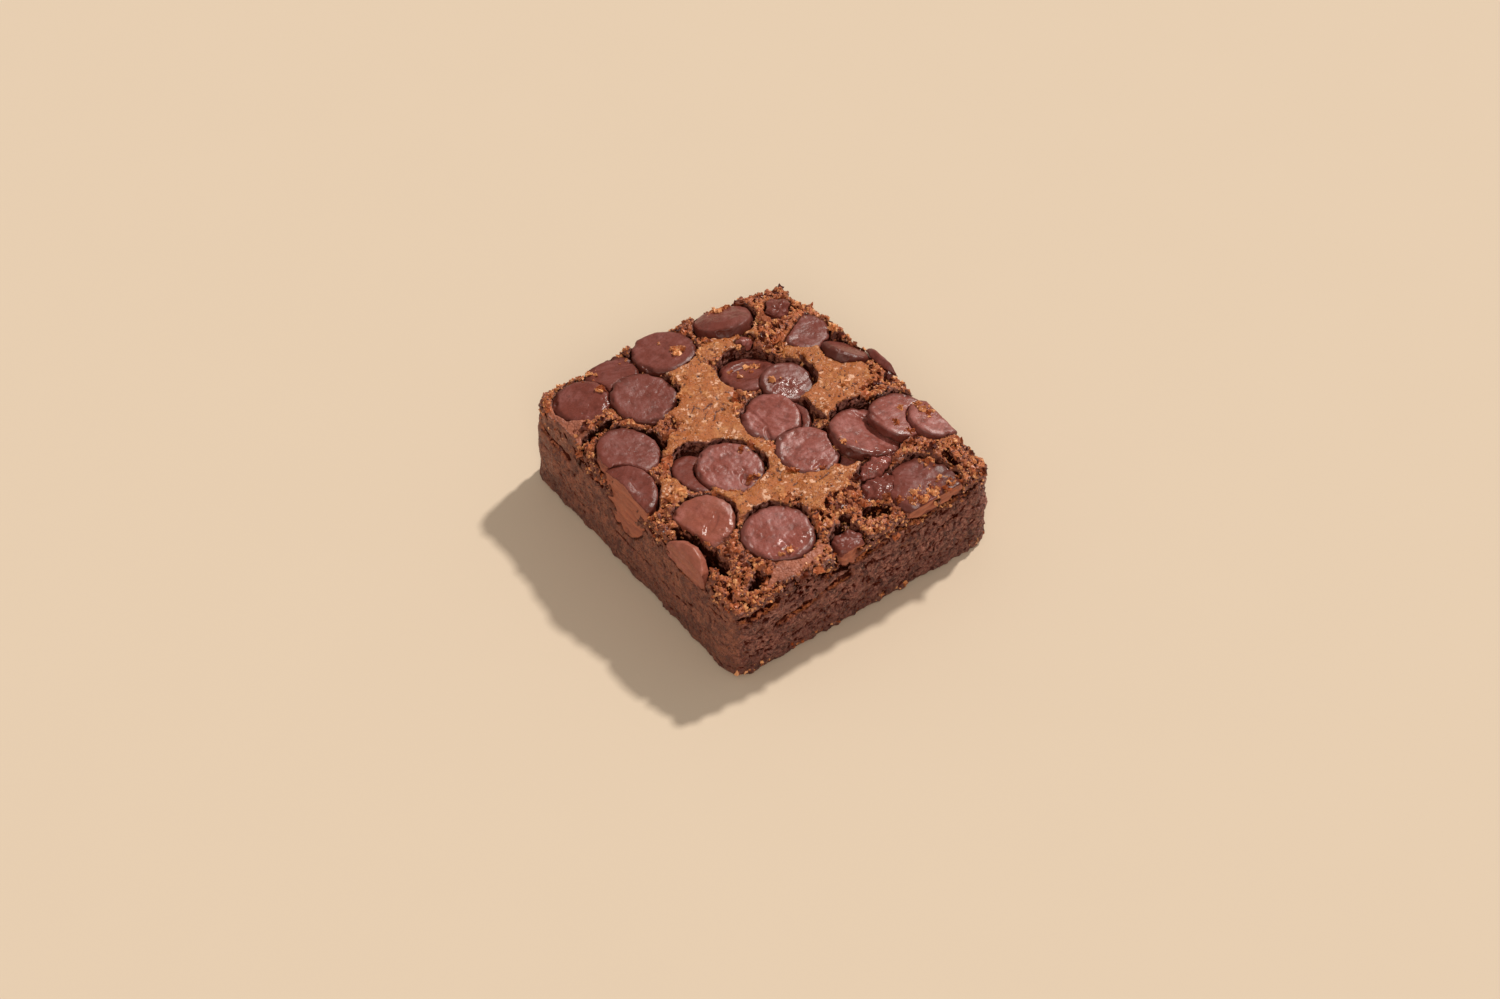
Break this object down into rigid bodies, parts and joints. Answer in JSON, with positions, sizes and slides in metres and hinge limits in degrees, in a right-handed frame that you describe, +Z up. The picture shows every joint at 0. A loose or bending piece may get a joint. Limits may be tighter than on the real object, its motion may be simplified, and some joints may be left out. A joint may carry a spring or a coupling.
{
  "type": "chocolate brownie",
  "caption": "Knife-cut square chocolate brownie with a crackled crust and dark chocolate discs baked into its top.",
  "frame": {"origin": "on the table under the middle of the brownie's bounding box", "axes": "+Z up; +X along the shorter pair of cut sides, which is 75 mm long, from the worn corner; +Y along the longer pair, which is 83 mm long"},
  "size_m": [0.0752, 0.0832, 0.0282],
  "materials": {
    "crumb": "dense fudgy cake crumb, matt, fine pores, torn at the rim",
    "crust": "thin golden-brown sugar crust, crackled, with glossy specks",
    "chocolate": "satin dark chocolate, slightly bloomed, streaked, softened by baking"
  },
  "bodies": {
    "root": {"chunk_back": "chocolate", "chunk_curl": "chocolate", "chunk_flow": "chocolate", "chunk_front_edge": "chocolate", "chunk_small": "chocolate", "disc_back_domed": "chocolate", "disc_back_flat": "chocolate", "disc_back_hidden": "chocolate", "disc_back_middle": "chocolate", "disc_big_tilted": "chocolate", "disc_centre_broken": "chocolate", "disc_dome_dark": "chocolate", "disc_far_right": "chocolate", "disc_front": "chocolate", "disc_front_glossy": "chocolate", "disc_in_hollow": "chocolate", "disc_left_corner": "chocolate", "disc_left_streaked": "chocolate", "disc_middle": "chocolate", "disc_nested": "chocolate", "disc_right_covered": "chocolate", "disc_right_edge": "chocolate", "disc_right_melted": "chocolate", "disc_right_middle": "chocolate", "disc_side_lower": "chocolate", "disc_side_upper": "chocolate", "disc_side_wedge": "chocolate", "disc_under": "chocolate", "disc_under_centre": "chocolate", "disc_under_middle": "chocolate", "slab": "crumb"}
  },
  "joints": []
}
